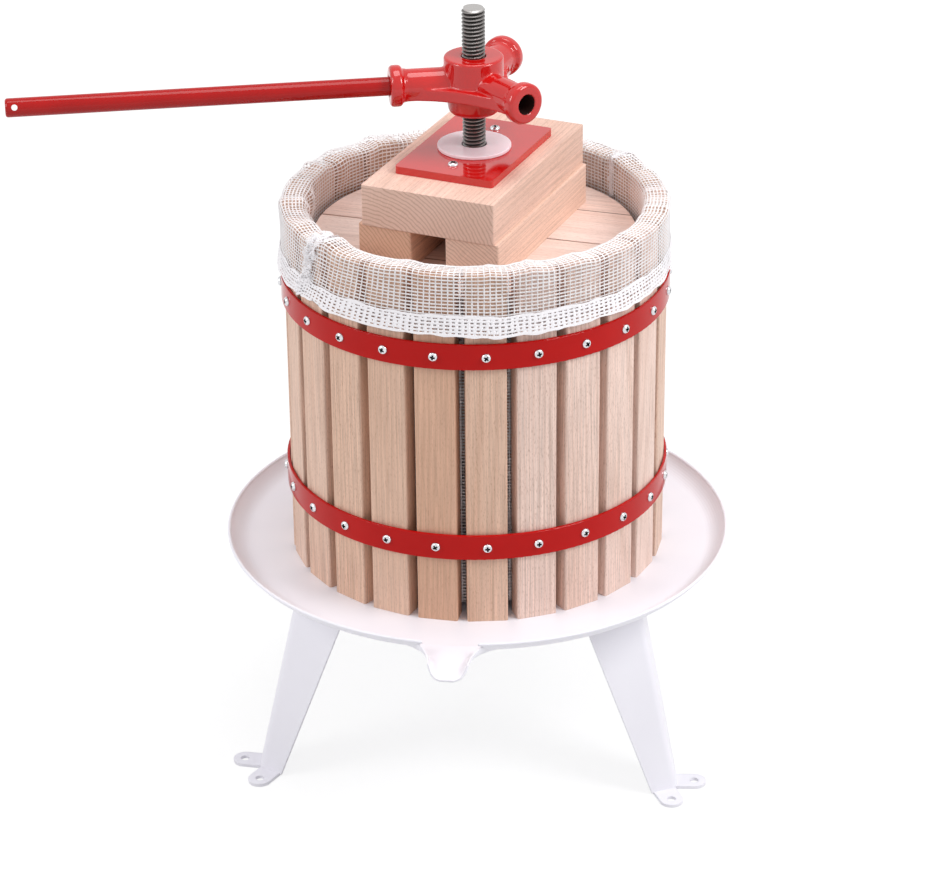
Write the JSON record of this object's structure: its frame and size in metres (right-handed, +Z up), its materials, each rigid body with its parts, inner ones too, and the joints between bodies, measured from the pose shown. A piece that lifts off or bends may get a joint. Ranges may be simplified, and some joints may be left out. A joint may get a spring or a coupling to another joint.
{
  "type": "basket fruit press",
  "caption": "Hand fruit press: slatted beech basket with a net bag on a footed round juice tray, pressed by wooden blocks under a cast handle nut on a fixed screw.",
  "frame": {"origin": "on the screw axis at floor level, under the middle of the tray", "axes": "+Z up along the screw, -Y towards the spout, +X to the right of someone facing the spout"},
  "size_m": [0.5488, 0.4395, 0.625],
  "materials": {
    "white_powder_coat": "smooth white powder coat on sheet steel",
    "zinc_plated_steel": "bright zinc plate",
    "oiled_thread_steel": "rolled thread, dark and lightly oiled",
    "beech_wood": "planed and sanded, unvarnished",
    "red_gloss_paint": "gloss red paint on flat steel",
    "red_painted_casting": "gloss red paint on a casting",
    "nylon_washer": "milky translucent nylon",
    "filter_net": "open white net with a stitched hem"
  },
  "bodies": {
    "frame": {"juice_tray": "white_powder_coat", "leg_front_left": "white_powder_coat", "leg_front_right": "white_powder_coat", "leg_rear": "white_powder_coat", "leg_bolts": "zinc_plated_steel", "leg_nuts": "zinc_plated_steel", "screw_spindle": "oiled_thread_steel", "spindle_base_washer": "zinc_plated_steel", "spindle_base_nut": "zinc_plated_steel", "spindle_top_washer": "zinc_plated_steel", "spindle_top_nut": "zinc_plated_steel", "stave_01": "beech_wood", "stave_02": "beech_wood", "stave_03": "beech_wood", "stave_04": "beech_wood", "stave_05": "beech_wood", "stave_06": "beech_wood", "stave_07": "beech_wood", "stave_08": "beech_wood", "stave_09": "beech_wood", "stave_10": "beech_wood", "stave_11": "beech_wood", "stave_12": "beech_wood", "stave_13": "beech_wood", "stave_14": "beech_wood", "stave_15": "beech_wood", "stave_16": "beech_wood", "stave_17": "beech_wood", "stave_18": "beech_wood", "stave_19": "beech_wood", "stave_20": "beech_wood", "stave_21": "beech_wood", "stave_22": "beech_wood", "stave_23": "beech_wood", "stave_24": "beech_wood", "lower_hoop": "red_gloss_paint", "upper_hoop": "red_gloss_paint", "lower_hoop_screws": "zinc_plated_steel", "upper_hoop_screws": "zinc_plated_steel", "filter_bag": "filter_net"},
    "press_stack": {"press_board_front": "beech_wood", "press_board_rear": "beech_wood", "cross_beam_left": "beech_wood", "cross_beam_right": "beech_wood", "pressure_block": "beech_wood", "pressure_plate": "red_gloss_paint", "plate_screws": "zinc_plated_steel", "slip_washer": "nylon_washer"},
    "handle_nut": {"handle_nut": "red_painted_casting"},
    "handle_bar": {"handle_bar": "red_gloss_paint"}
  },
  "joints": [
    {"name": "press_travel", "type": "slide", "parent": "frame", "child": "press_stack", "axis": [0, 0, 1], "range_m": [-0.0667, 0.0375]},
    {"name": "nut_turn", "type": "hinge", "parent": "press_stack", "child": "handle_nut", "pos_m": [0, 0, 0.5655], "axis": [0, 0, 1], "range_deg": [-8000, 4500]},
    {"name": "bar_slide", "type": "slide", "parent": "handle_nut", "child": "handle_bar", "axis": [-0.9703, -0.2419, 0], "range_m": [0, 0.038]}
  ],
  "couplings": [
    {"joint": "press_travel", "follows": "nut_turn", "m_per_rad": 0.00047746}
  ]
}
